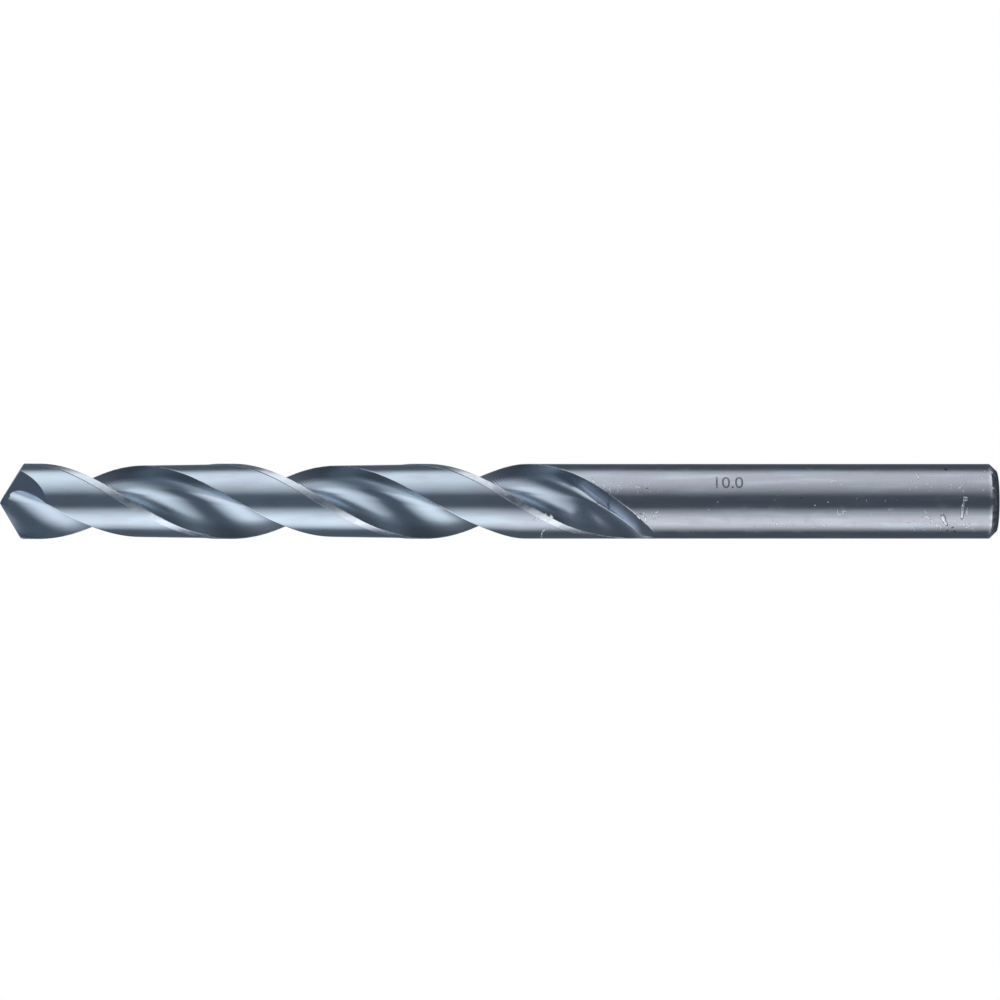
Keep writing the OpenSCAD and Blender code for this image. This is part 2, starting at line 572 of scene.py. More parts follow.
@dataclass
class DrillBit:
    """The drill bit: two-flute cutting part, four-facet point and plain shank.

    Attributes:
        overall: length from the shank's end to the chisel edge.
        flute_length: length from the chisel edge to the end of the run-out.
        shank_diameter: diameter of the shank.
        chamfer: width of the 45 degree chamfer at the shank's end.
        body_diameter: diameter over the margins, at the point.
        margin_undercut: how far the margins' back end lies below the shank.
        lead: length of one full turn of a flute.
        web: thickness of the web at the point.
        web_growth: increase of the web by the end of the flutes.
        flute_radius: radius between the web and the heel side of a flute.
        wall_angle: slope of the flute's wall at the heel.
        margin_angle: width of a margin as an angle about the axis.
        margin_height: height of the margin over the land beside it.
        heel_height: distance of the land below the margin's circle at the heel.
        clear_length: length from the point at which the land's clearance starts to fade.
        clear_fade: length over which it fades.
        lift_length: length over which the flutes lift out to the surface.
        crease_drift: drift of the crease towards the lip side, per mm of the run-out.
        drift_run: length over which the drift sets in.
        crease_radius: radius of the crease in the run-out.
        kink_run: length over which the round turns into a kinked crease.
        floor_tilt: tilt of the floor down to the crease in the run-out.
        end_tilt: further tilt of the floor at the very end of the run-out.
        end_tilt_start: length from the lift's start to the start of the further tilt.
        tilt_run: length over which either tilt sets in.
        point_angle: point angle, taken over both lips.
        lip_relief: slope of the first facet behind a lip.
        heel_relief: slope of the second facet, square to the lip.
        heel_cant: slope of the second facet along the lip.
        heel_drop: how far the second facet's plane lies under the apex.
        wall_lean: lean of the wall beside a second facet.
        wall_bearing: which way that wall faces, seen from above.
        wall_corner: where it passes the axis, at the height of the chisel edge.
        clocking: turn of the lips from the X axis.
        edge_round: size of the rounding of the ground edges.
        lip_share: the share of that size that the lips have.
        margin_slope: width of the slope from land to margin, as an angle about the axis.
        chamfer_round: size of the rounding of the chamfer's edges.
        kink_pull: how far the kinked crease is pulled towards the floor, as a share.
        kink_reach: how much further it reaches up the wall, as a factor.
        round_tightens: where the flute's round tightens to the crease, over the lift's start.
        tip_length: length of the stretch in which the point is ground.
        block_size: size of the block that stands for the wheel of a second facet.
        land_steps, margin_steps, rake_steps, round_steps, wall_steps: steps of the
            section's stretches.
        tip_rows, body_rows, lift_rows: rows of sections, from the point down.
        dull_shade_wall, dull_shade_rake: the stretches that are darkened with painted shade and left
            rougher.
        dull_end: where the flute's end turns darker and rougher, over the end.
        dull_end_share: how far it is darkened and roughened there.
        dull_shade_lift_share: how far the wall is darkened with painted shade and left rougher in the
            run-out.
        chatter_band: the stretch with the wheel's chatter marks.
        rub_start: where the rubbing of the margins starts, over the lift's start.
        finish_land, finish_flute, finish_point, finish_turned_shaded: the finishes of the zones.
    """

    overall: float = 133.0
    flute_length: float = 87.3
    shank_diameter: float = 2.0 * SHANK_RADIUS
    chamfer: float = 0.95
    body_diameter: float = 10.1
    margin_undercut: float = 0.002
    lead: float = FLUTE_LEAD
    web: float = 1.86
    web_growth: float = 1.0
    flute_radius: float = 2.6
    wall_angle: float = 68.0
    margin_angle: float = 12.5
    margin_height: float = 0.09
    heel_height: float = 0.25
    clear_length: float = 64.0
    clear_fade: float = 6.0
    lift_length: float = 12.0
    crease_drift: float = 0.476
    drift_run: float = 4.32
    crease_radius: float = 1.1
    kink_run: float = 5.0
    floor_tilt: float = 12.0
    end_tilt: float = 8.0
    end_tilt_start: float = 6.0
    tilt_run: float = 4.0
    point_angle: float = 118.0
    lip_relief: float = 13.0
    heel_relief: float = 54.4
    heel_cant: float = 18.3
    heel_drop: float = 0.03
    wall_lean: float = 18.0
    wall_bearing: float = -110.6
    wall_corner: Point2 = (-0.06, -0.14)
    clocking: float = 6.2
    edge_round: float = 0.06
    lip_share: float = 0.7
    margin_slope: float = 0.5
    chamfer_round: float = 0.12
    kink_pull: float = 0.45
    kink_reach: float = 1.3
    round_tightens: Fade = Fade(1.0, -7.0)
    tip_length: float = 9.5
    block_size: float = 30.0
    land_steps: int = 34
    margin_steps: int = 6
    rake_steps: int = 24
    round_steps: int = 26
    wall_steps: int = 8
    tip_rows: int = 52
    body_rows: int = 220
    lift_rows: int = 110
    # Where the flutes get painted shade, which also makes them rougher
    dull_shade_wall: Patch = Patch(across=(Fade(-1.9, -0.5),), under_tip=Fade(2.5, 6.0), over_lift=Fade(0.0, 4.0))
    dull_shade_rake: Patch = Patch(across=(Fade(1.9, 1.5),), under_tip=Fade(7.0, 9.0))
    dull_end: Fade = Fade(3.2, -1.6)
    dull_end_share: float = 0.9
    dull_shade_lift_share: float = 0.4
    chatter_band: Patch = Patch(
        across=(Fade(-0.8, -0.5), Fade(-2.5, 0.3)), under_tip=Fade(8.0, 5.0), over_lift=Fade(1.0, 5.0))
    rub_start: Fade = Fade(-6.0, 5.0)
    finish_land: GroundSteel = GroundSteel(
        name="ground_land", cool=(0.56, 0.66, 0.75), warm=(0.45, 0.473, 0.525),
        roughness=0.2, spread=0.04, grain=Grain.AROUND, relief=0.0006, handled=True)
    # The flute's second colour is painted shade for its wall and the floor near the lip
    finish_flute: GroundSteel = GroundSteel(
        name="ground_flute", cool=(0.53, 0.63, 0.73), warm=(0.5, 0.57, 0.66),
        roughness=0.23, spread=0.04, grain=Grain.ALONG_FLUTE, relief=0.001,
        ridges=0.011, dull_and_shade=(0.3, 0.35, 0.41))
    finish_point: GroundSteel = GroundSteel(
        name="ground_point", cool=(0.5, 0.58, 0.68), warm=(0.5, 0.58, 0.68),
        roughness=0.24, spread=0.05, grain=Grain.ACROSS_POINT, relief=0.001)
    # The turned end's colour is kept dark: painted shade on the chamfer and the end face
    finish_turned_shaded: GroundSteel = GroundSteel(
        name="turned_end_shaded", cool=(0.24, 0.24, 0.27), warm=(0.24, 0.24, 0.27),
        roughness=0.3, spread=0.06, grain=Grain.AROUND, relief=0.001)

    @property
    def twist(self) -> float:
        """Turn of the section per millimetre, in radians."""
        return math.tau / self.lead

    @property
    def rise(self) -> float:
        """Drop of a lip per millimetre from the axis."""
        return 1.0 / math.tan(math.radians(self.point_angle / 2))

    @property
    def tip_radius(self) -> float:
        """Radius over the margins at the point."""
        return self.body_diameter / 2

    @property
    def shank_radius(self) -> float:
        """Radius of the shank."""
        return self.shank_diameter / 2

    @property
    def relief(self) -> float:
        """Slope of the first facet behind a lip."""
        return math.tan(math.radians(self.lip_relief))

    @property
    def apex(self) -> float:
        """Height at which the lines of both lips would meet the axis."""
        return self.overall + self.relief * self.web / 2

    @property
    def flute_end(self) -> float:
        """Height at which the flutes end."""
        return self.overall - self.flute_length

    @property
    def lift_start(self) -> float:
        """Height at which the flutes start to lift out."""
        return self.flute_end + self.lift_length

    def margin_radius(self, z: float) -> float:
        """Return the radius over the margins at a height."""
        share = clamp01((z - self.flute_end) / self.flute_length)
        return mix(self.shank_radius - self.margin_undercut, self.tip_radius, share)

    def clearance(self, z: float) -> float:
        """Return the share of the full clearance behind the margins at a height."""
        return ease((z - (self.overall - self.clear_length - self.clear_fade)) / self.clear_fade)

    def half_web(self, z: float) -> float:
        """Return half the thickness of the web at a height."""
        return self.web / 2 + self.web_growth / 2 * clamp01((self.overall - z) / self.flute_length)

    def lift(self, z: float) -> float:
        """Return how far the flute has moved outwards at a height."""
        share = clamp01((self.lift_start - z) / self.lift_length)
        return (self.margin_radius(z) - self.half_web(z)) * share * share

    def round_radius(self, z: float) -> float:
        """Return the radius between the floor and the heel wall of the flute at a height."""
        return mix(self.flute_radius, self.crease_radius, self.round_tightens.at(z - self.lift_start))

    def kink(self, z: float) -> float:
        """Return how far the round has turned into a kinked crease at a height."""
        return ease((self.lift_start - z) / self.kink_run)

    def crease_place(self, z: float) -> float:
        """Work out where floor and wall would meet without their round; it drifts in the run-out.

        Args:
            z: height on the drill.

        Returns:
            The place of the crease along the floor.
        """
        d, run = max(0.0, self.lift_start - z), self.drift_run
        corner = -self.flute_radius * math.tan(math.radians(self.wall_angle) / 2)
        return corner + self.crease_drift * (d * d / (2.0 * run) if d < run else d - run / 2.0)

    def _edge_angle(self, h: float) -> float:
        """Return the angle at which the rake curve of a lip h off the axis meets the rim."""
        r = self.tip_radius
        return math.asin(h / r) + self.twist * self.rise * math.sqrt(r * r - h * h)

    def rake_point(self, u: float, h: float, up: float) -> Point2:
        """Work out a point of the rake curve that makes the lip straight.

        Args:
            u: length along the lip.
            h: half the thickness of the web.
            up: how far the flute has moved outwards.

        Returns:
            The point.
        """
        r = math.hypot(u, h)
        a = math.atan2(h, u) + self.twist * self.rise * u
        a += self._edge_angle(self.web / 2) - self._edge_angle(h)
        return (r * math.cos(a), r * math.sin(a) + up)

    def floor_point(self, u: float, u1: float, z: float) -> Vector:
        """Work out a point of a flute's floor.

        The floor is the rake curve on the lip side and level towards the heel; in
        the run-out it tilts about the lip, down to the crease.

        Args:
            u: length along the floor from its middle.
            u1: length at which the floor meets the lip.
            z: height on the drill, in millimetres.

        Returns:
            The point, in millimetres.
        """
        h, up = self.half_web(z), self.lift(z)
        flat = Vector(self.rake_point(u, h, up) if u > 0.0 else (u, h + up))
        lip = Vector(self.rake_point(u1, h, up))
        tilt = self.floor_tilt * ease((self.lift_start - 0.8 - z) / self.tilt_run)
        tilt += self.end_tilt * ease((self.lift_start - self.end_tilt_start - z) / self.tilt_run)
        return lip + Matrix.Rotation(math.radians(tilt), 2) @ (flat - lip)

    def wheel_point(self, s: float, h: float, up: float) -> Point2:
        """Work out a point of the wheel's own round and wall on the heel side.

        Args:
            s: length along the round and the wall.
            h: half the thickness of the web.
            up: how far the flute has moved outwards.

        Returns:
            The point.
        """
        wall, rho = math.radians(self.wall_angle), self.flute_radius
        b = clamp01(s / (rho * wall)) * wall
        t = max(0.0, s - rho * wall)
        rise = h + rho - rho * math.cos(b) + t * math.sin(wall) + up
        return (-rho * math.sin(b) - t * math.cos(wall), rise)

    def heel_side(self, z: float, u1: float, heel: Point2) -> tuple[float, list[Point2]]:
        """Work out the heel side of a flute: the round of the crease and the wall up to the heel.

        Args:
            z: height on the drill, in millimetres.
            u1: length of the rake curve, from the middle to the lip.
            heel: the heel's edge.

        Returns:
            Where on the floor the round starts, and the points from there to just before the heel.
        """
        uk = min(self.crease_place(z), 0.85 * u1)
        crease = self.floor_point(uk, u1, z)
        run = Vector(heel) - crease
        turn = math.atan2(run.y, -run.x)
        # The plain shares here only keep the round inside the floor and the wall
        tangent = min(self.round_radius(z) * math.tan(turn / 2), 0.8 * (u1 - uk), 0.9 * run.length)
        kink = self.kink(z)
        foot = self.floor_point(uk + tangent, u1, z)
        control = crease.lerp(foot, self.kink_pull * kink)
        reach = min(tangent * mix(1.0, self.kink_reach, kink), 0.6 * run.length)
        top = crease + run.normalized() * reach
        points = []
        for i in range(self.round_steps + 1):
            t = i / self.round_steps
            m, n, o = (1 - t) ** 2, 2 * t * (1 - t) * math.cos(turn / 2), t * t
            points.append((m * foot + n * control + o * top) / (m + n + o))
        points += [top.lerp(Vector(heel), i / self.wall_steps) for i in range(1, self.wall_steps)]
        return uk + tangent, [(p.x, p.y) for p in points]

    @staticmethod
    def _reach(curve: Callable[[float], Point2], high: float, radius: float) -> float:
        """Find where a curve crosses a radius.

        Args:
            curve: gives the curve's point by the length along it.
            high: a length that lies beyond the crossing.
            radius: the radius that is crossed.

        Returns:
            The length along the curve at the crossing.
        """
        low = 0.0
        for _ in range(30):
            middle = (low + high) / 2
            if math.hypot(*curve(middle)) > radius:
                high = middle
            else:
                low = middle
        return low

    @staticmethod
    def _rounded(before: Point2, corner: Point2, after: Point2, size: float) -> list[Point2]:
        """Round off a corner.

        Args:
            before: the point before the corner.
            corner: the corner.
            after: the point after it.
            size: how far the rounding reaches on both sides.

        Returns:
            Four points that take the corner's place.
        """
        a, c, b = Vector(before), Vector(corner), Vector(after)
        first = c + (a - c).normalized() * min(size, 0.45 * (a - c).length)
        last = c + (b - c).normalized() * min(size, 0.45 * (b - c).length)
        found = []
        for t in (0.0, 1 / 3, 2 / 3, 1.0):
            p = first * (1 - t) ** 2 + c * (2 * t * (1 - t)) + last * t * t
            found.append((p.x, p.y))
        return found

    def outline(self, z: float) -> Outline:
        """Work out half of the section at a height, before its turn.

        Args:
            z: height on the drill, in millimetres.

        Returns:
            The outline, from the heel of one land to the heel of the next.
        """
        h, up = self.half_web(z), self.lift(z)
        rim = self.margin_radius(z)
        land = rim - self.margin_height * self.clearance(z)
        low = rim - self.heel_height * self.clearance(z)
        u1 = self._reach(lambda u: self.rake_point(u, h, up), rim, rim)
        s1 = self._reach(lambda s: self.wheel_point(s, h, up), 9.0, low)
        lip, heel = self.rake_point(u1, h, up), self.wheel_point(s1, h, up)
        ua, heels = self.heel_side(z, u1, heel)
        a1 = math.atan2(lip[1], lip[0])
        a0 = math.atan2(heel[1], heel[0]) - math.pi
        am = a1 - min(math.radians(self.margin_angle), (a1 - a0) / 4)
        step = min(math.radians(self.margin_slope), 0.1 * (a1 - am))

        def on_rim(a: float, r: float) -> Point2:
            """Return the point at an angle and a radius."""
            return (r * math.cos(a), r * math.sin(a))

        lands = [on_rim(mix(a0, am, i / self.land_steps), mix(low, land, i / self.land_steps))
                 for i in range(1, self.land_steps + 1)]
        margins = [on_rim(mix(am + step, a1, i / self.margin_steps), rim) for i in range(self.margin_steps)]
        inner = max(min(self.relief * self.web / 2 / self.rise, 0.5 * u1), ua + 0.02 * (u1 - ua))
        rakes = [tuple(self.floor_point(mix(u1, inner, i / self.rake_steps), u1, z))
                 for i in range(1, self.rake_steps + 1)]
        start = on_rim(a0, low)
        lip_round = self._rounded(margins[-1], lip, rakes[0], self.edge_round * self.lip_share)
        last_wall = tuple(-c for c in heels[-1])
        heel_round = self._rounded(last_wall, start, lands[0], self.edge_round)

        strips: list[tuple[Sequence[Point2], float, Zone]] = [
            (heel_round[2:], 1.0, Zone.LAND),
            (lands, 0.0, Zone.LAND),
            (margins, 0.0, Zone.LAND),
            (lip_round, 1.0, Zone.LAND),
            (rakes, 0.0, Zone.FLUTE),
            (heels, 0.0, Zone.FLUTE),
            ([(-p[0], -p[1]) for p in heel_round[:2]], 1.0, Zone.FLUTE),
        ]
        points, edges, zones = [], [], []
        for strip, edge, zone in strips:
            points += list(strip)
            edges += [edge] * len(strip)
            zones += [zone] * len(strip)
        # Painted shade, with more roughness, on the wall and on the floor near the lip; darker and rougher
        # at the flute's end
        walls = set(heels[self.round_steps + 1:])
        least = self.dull_shade_lift_share * self.kink(z)
        dull_and_shade = [max(self._dullness_and_shade(p, zone, z), least if p in walls else 0.0)
                for p, zone in zip(points, zones)]
        chatter = [self._chatter(p, zone, z) for p, zone in zip(points, zones)]
        rubbed = self.rub_start.at(z - self.lift_start)
        on_margin = [rubbed if p in margins else 0.0 for p in points]
        return Outline(*(tuple(values) for values in (points, edges, dull_and_shade, chatter, on_margin, zones)))

    def _dullness_and_shade(self, p: Point2, zone: Zone, z: float) -> float:
        """Work out how far the steel is darkened and roughened: painted shade on the wall and on the floor
        near the lip, and darker at the flute's end.

        Args:
            p: a point of the section.
            zone: the zone that it lies in.
            z: height on the drill.

        Returns:
            The share of darkening and roughening, from 0 to 1.
        """
        if zone is not Zone.FLUTE:
            return 0.0
        place = (p[0], self.overall - z, z - self.lift_start)
        end = self.dull_end_share * self.dull_end.at(z - self.flute_end)
        return max(self.dull_shade_wall.strength(*place), self.dull_shade_rake.strength(*place), end)

    def _chatter(self, p: Point2, zone: Zone, z: float) -> float:
        """Work out how strong the wheel's chatter is: beside the wall, away from point and run-out.

        Args:
            p: a point of the section.
            zone: the zone that it lies in.
            z: height on the drill.

        Returns:
            The strength, from 0 to 1.
        """
        if zone is not Zone.FLUTE:
            return 0.0
        return self.chatter_band.strength(p[0], self.overall - z, z - self.lift_start)

    def ring(self, z: float) -> tuple[list[Point3], Outline]:
        """Turn the section at a height to its place.

        Args:
            z: height on the drill, in millimetres.

        Returns:
            The whole section's points, in metres, and its half outline.
        """
        half = self.outline(z)
        turn = math.radians(self.clocking) + self.twist * (z - self.apex)
        points = []
        for extra in (0.0, math.pi):
            c, s = math.cos(turn + extra), math.sin(turn + extra)
            points += [((p[0] * c - p[1] * s) * MM, (p[0] * s + p[1] * c) * MM, z * MM) for p in half.points]
        return points, half

    def loft(self, title: str, heights: Sequence[float], capped: bool) -> bpy.types.Object:
        """Make a stretch of the fluted part from its sections.

        Its section changes from row to row, so it is laid row by row and not
        shaped from a primitive.

        Args:
            title: name of the new object.
            heights: the heights of the rows, from the top down.
            capped: whether both ends are closed.

        Returns:
            The new object.
        """
        rows = [self.ring(z) for z in heights]
        count = len(rows[0][0])
        points = [p for row, _ in rows for p in row]
        faces, zones = [], []
        half = rows[0][1]
        for j in range(len(rows) - 1):
            for i in range(count):
                k = (i + 1) % count
                faces.append((j * count + i, (j + 1) * count + i, (j + 1) * count + k, j * count + k))
                zones.append(half.zones[i % len(half.zones)].value)
        if capped:
            faces.append(tuple(range(count)))
            faces.append(tuple(reversed(range((len(rows) - 1) * count, len(rows) * count))))
            zones += [Zone.POINT.value] * 2
        mesh = bpy.data.meshes.new(title)
        mesh.from_pydata(points, [], faces)
        mesh.polygons.foreach_set("material_index", zones)
        traits = [line.traits() for _, line in rows]
        for name in traits[0]:
            layer = mesh.attributes.new(name, "FLOAT", "POINT")
            layer.data.foreach_set("value", [value for row in traits for value in row[name] * 2])
        item = bpy.data.objects.new(title, mesh)
        bpy.context.scene.collection.objects.link(item)
        return item

    def _side_turn(self, side: int) -> Matrix:
        """Return the turn from the X axis to the lip of a tooth."""
        return Matrix.Rotation(math.radians(self.clocking) + math.pi * side, 3, "Z")

    def _leaning_wall(self, side: int) -> tuple[Vector, Vector]:
        """Work out the plane of the wall at which a second facet ends.

        Args:
            side: 0 for the first tooth, 1 for the second.

        Returns:
            A point of the plane, in metres, and its normal.
        """
        lean = Matrix.Rotation(math.radians(self.wall_bearing), 3, "Z")
        lean = lean @ Matrix.Rotation(math.radians(-self.wall_lean), 3, "X")
        turn = self._side_turn(side)
        return turn @ (Vector((*self.wall_corner, self.overall)) * MM), turn @ lean @ Vector((0, 1, 0))

    def _plane(self, side: int, drop: float, bu: float, bv: float) -> tuple[Vector, Vector]:
        """Return a point and the upward normal of a facet's plane.

        Args:
            side: 0 for the first tooth, 1 for the second.
            drop: how far the plane lies under the apex on the axis.
            bu: its slope along the lip.
            bv: its slope square to the lip.

        Returns:
            The point, in metres, and the normal.
        """
        place = Vector((0, 0, (self.apex - drop) * MM))
        return place, self._side_turn(side) @ Vector((bu, bv, 1.0)).normalized()

    def facet_planes(self) -> list[tuple[Vector, Vector]]:
        """Work out the planes of the four facets.

        Returns:
            A point and the normal of each, first facets before second ones.
        """
        first = (self.relief * self.web / 2, self.rise, -self.relief)
        slopes = (-math.tan(math.radians(angle)) for angle in (self.heel_cant, self.heel_relief))
        second = (self.heel_drop, *slopes)
        return [self._plane(side, *facet) for facet in (first, second) for side in (0, 1)]

    def grind_point(self, tip: bpy.types.Object) -> None:
        """Grind the four facets of the point.

        Args:
            tip: the top of the fluted part, with both ends closed.
        """
        planes = self.facet_planes()
        for place, normal in planes[:2]:
            bisect(tip, place, normal)
        for side, (place, normal) in enumerate(planes[2:]):
            wheel = self._wheel(side, place, normal)
            cut = tip.modifiers.new("second_facet", "BOOLEAN")
            cut.operation = "DIFFERENCE"
            cut.solver = "EXACT"
            cut.object = wheel
            pick(tip)
            bpy.ops.object.modifier_apply(modifier=cut.name)
            bpy.data.objects.remove(wheel, do_unlink=True)

    def _wheel(self, side: int, place: Vector, normal: Vector) -> bpy.types.Object:
        """Make the space that the wheel takes when it grinds a second facet.

        Args:
            side: 0 for the first tooth, 1 for the second.
            place: a point of the facet's plane.
            normal: the plane's upward normal.

        Returns:
            The new object.
        """
        bpy.ops.object.select_all(action="DESELECT")
        bpy.ops.mesh.primitive_cube_add(size=self.block_size * MM, location=(0, 0, self.apex * MM))
        wheel = bpy.context.object
        bpy.ops.object.transform_apply(location=True, rotation=False, scale=False)
        bisect(wheel, place, -normal)
        corner, facing = self._leaning_wall(side)
        bisect(wheel, corner, -facing)
        return wheel

    def mark_facets(self, item: bpy.types.Object) -> None:
        """Give the faces that lie in a facet's plane, or in a wall beside one, the point's finish.

        Args:
            item: the drill.
        """
        top = (self.overall - self.tip_length) * MM
        planes = self.facet_planes() + [self._leaning_wall(side) for side in (0, 1)]
        for face in item.data.polygons:
            if face.center.z < top:
                continue
            for place, normal in planes:
                if abs((face.center - place).dot(normal)) < 2e-6 and face.normal.dot(normal) > 0.99:
                    face.material_index = Zone.POINT.value

    def _shank_profile(self) -> list[Point2]:
        """Work out the shank's rows from the top down.

        Returns:
            The rows, as heights and radii.
        """
        radius, chamfer, small = self.shank_radius, self.chamfer, self.chamfer_round
        return [
            (self.flute_end - 0.1, radius),
            (30.0, radius),
            (14.0, radius),
            (chamfer + 0.55, radius),
            (chamfer + 0.2, radius),
            (chamfer + small, radius),
            (chamfer + 0.35 * small, radius - 0.1 * small),
            (chamfer - 0.35 * small, radius - 0.5 * small),
            (chamfer - small, radius - small),
            (small, radius - chamfer + small),
            (0.35 * small, radius - chamfer + 0.5 * small),
            (0.0, radius - chamfer),
        ]

    def turn_shank(self, item: bpy.types.Object) -> None:
        """Draw the shank down from the lowest row of the fluted part, with its chamfer and end.

        Args:
            item: the fluted part, open at both ends.
        """
        mesh = item.data
        lowest = min(v.co.z for v in mesh.vertices)
        select_only(item, lambda vertex: abs(vertex.co.z - lowest) < 1e-7)
        small = self.chamfer_round
        profile = self._shank_profile()
        height, radius = lowest / MM, self.margin_radius(lowest / MM)
        bpy.ops.object.mode_set(mode="EDIT")
        for z, r in profile:
            bpy.ops.mesh.extrude_edges_move(TRANSFORM_OT_translate={"value": (0, 0, (z - height) * MM)})
            bpy.ops.transform.resize(value=(r / radius, r / radius, 1.0), center_override=(0, 0, z * MM))
            height, radius = z, r
        bpy.ops.mesh.edge_face_add()
        bpy.ops.object.mode_set(mode="OBJECT")

        radii = {round(z, 3): r for z, r in profile}
        worn = mesh.attributes["edge"].data
        for vertex in mesh.vertices:
            if vertex.co.z < lowest - 1e-7:
                z = vertex.co.z / MM
                vertex.co.xy = vertex.co.xy.normalized() * (radii[round(z, 3)] * MM)
                worn[vertex.index].value = 1.0 if -small < z - self.chamfer < 0.3 else 0.0
        for face in mesh.polygons:
            if face.center.z < (self.chamfer - 0.5 * small) * MM:
                face.material_index = Zone.TURNED.value
            elif face.center.z < lowest:
                face.material_index = Zone.LAND.value

    def build(self) -> bpy.types.Object:
        """Build the whole drill as one piece.

        Returns:
            The finished object, at the origin.
        """
        join = self.overall - self.tip_length
        tip = self.loft("drill_tip", spaced(self.overall + 0.5, join, self.tip_rows), capped=True)
        self.grind_point(tip)
        drop_faces(tip, lambda face: abs(face.center.z - join * MM) < 1e-5 and abs(face.normal.z) > 0.9)
        lifted = self.lift_start + 4.0
        heights = spaced(join, lifted, self.body_rows)
        heights += spaced(lifted, self.flute_end + 0.15, self.lift_rows)[1:]
        body = self.loft("drill_body", heights, capped=False)
        self.turn_shank(body)
        for finish in (self.finish_land, self.finish_flute, self.finish_point, self.finish_turned_shaded):
            body.data.materials.append(finish.material())
        for material in body.data.materials:
            tip.data.materials.append(material)
        pick(body, tip)
        bpy.ops.object.join()
        body.name = body.data.name = "drill"
        bpy.ops.object.mode_set(mode="EDIT")
        bpy.ops.mesh.select_all(action="SELECT")
        bpy.ops.mesh.remove_doubles(threshold=3e-6)
        bpy.ops.mesh.normals_make_consistent(inside=False)
        bpy.ops.object.mode_set(mode="OBJECT")
        self.mark_facets(body)
        bpy.ops.object.shade_smooth_by_angle(angle=math.radians(31.0))
        return body


@dataclass
class SizeMark:
    """The drill's diameter in millimetres, etched on the shank as plain figures.

    Attributes:
        text: the figures.
        tall: their height.
        tall_share: their height as a share of the size of the letters.
        middle: their middle, in the picture's frame.
        radius: how far from the axis they lie, a hair outside the shank.
        finish: their finish.
    """

    text: str = "10.0"
    tall: float = 1.7
    tall_share: float = 0.7
    middle: Point2 = (728.0, 483.0)
    radius: float = SHANK_RADIUS + 0.006
    finish: EtchedSteel = field(default_factory=EtchedSteel)

    def build(self) -> bpy.types.Object:
        """Make the figures, bent round the shank, reading from the point to the shank's end.

        Returns:
            The finished object, at the origin.
        """
        bpy.ops.object.select_all(action="DESELECT")
        bpy.ops.object.text_add(location=(0, 0, 0))
        words = bpy.context.object
        words.data.body = self.text
        words.data.align_x = "CENTER"
        words.data.align_y = "CENTER"
        words.data.size = self.tall / self.tall_share
        words.data.resolution_u = 6
        pick(words)
        bpy.ops.object.convert(target="MESH")
        mark = bpy.context.object
        mark.name = mark.data.name = "size_mark"
        bpy.ops.object.mode_set(mode="EDIT")
        bpy.ops.mesh.select_all(action="SELECT")
        bpy.ops.mesh.remove_doubles(threshold=0.001)
        bpy.ops.mesh.quads_convert_to_tris()
        bpy.ops.mesh.subdivide(number_cuts=2)
        bpy.ops.object.mode_set(mode="OBJECT")
        height, angle = front_place(*self.middle)
        for vertex in mark.data.vertices:
            turn = math.radians(angle) + vertex.co.y / self.radius
            vertex.co = on_shank(turn, self.radius, height - vertex.co.x)
        turn_outwards(mark)
        outward = sum((f.normal.dot(Vector((f.center.x, f.center.y, 0))) for f in mark.data.polygons), 0.0)
        if outward < 0:
            mark.data.flip_normals()
        mark.data.materials.clear()
        mark.data.materials.append(self.finish.material())
        return mark


@dataclass(frozen=True)
class Scratch:
    """One scratch with raised lips, between two places in the picture's frame.

    Attributes:
        start: where it starts.
        end: where it ends.
        width: its width, in millimetres.
        steep: how high it stands, as a share of half its width.
    """

    start: Point2
    end: Point2
    width: float
    steep: float = 0.07


@dataclass(frozen=True)
class Scatter:
    """A patch of small dents and specks.

    Attributes:
        middle: its middle in the picture's frame.
        reach: how far it reaches to the sides and up and down, in the frame's units.
        count: how many specks it has.
        size: the size of a middling speck, in millimetres.
    """

    middle: Point2
    reach: Point2
    count: int
    size: float


def scratch_rows(*rows: tuple[float, ...]) -> tuple[Scratch, ...]:
    """Make scratches from rows of numbers.

    Args:
        rows: for each scratch its start, its end, its width and, if it is a high
            one, its steepness.

    Returns:
        The scratches.
    """
    return tuple(Scratch(row[0:2], row[2:4], *row[4:]) for row in rows)


# Nicks in the shank, drawn dark with painted shade
DENTS = scratch_rows(
    (944.5, 468.5, 946.0, 470.5, 0.26), (946.0, 470.5, 947.5, 468.8, 0.2),
    (951.5, 528.0, 953.5, 527.0, 0.2), (954.0, 530.5, 955.5, 532.5, 0.24),
    (946.5, 531.0, 948.0, 530.0, 0.2), (639.5, 513.5, 642.5, 514.5, 0.12),
    (801.0, 498.0, 801.8, 498.0, 0.2), (646.0, 488.5, 648.0, 488.0, 0.12),
)


@dataclass(frozen=True)
class BareSteel:
    """Steel laid bare and raised by a scratch.

    Attributes:
        name: name of the material.
        bright: colour of its bright grains.
        shaded: colour of its darker grains.
    """

    name: str = "bare_steel"
    bright: Colour = (0.96, 0.98, 1.0)
    shaded: Colour = (0.88, 0.9, 0.94)

    def material(self) -> bpy.types.Material:
        """Make the material.

        Returns:
            The new material.
        """
        material, sheet = NodeSheet.of_material(self.name)
        place = sheet.add("ShaderNodeTexCoord").outputs["Object"]
        grit = sheet.noise(place, 9000.0, 2.0)
        colour = sheet.blend(grit, self.shaded, self.bright)
        sheet.close(sheet.metal(colour, sheet.ramp(grit, 0.3, 0.7, 0.35, 0.5)))
        return material


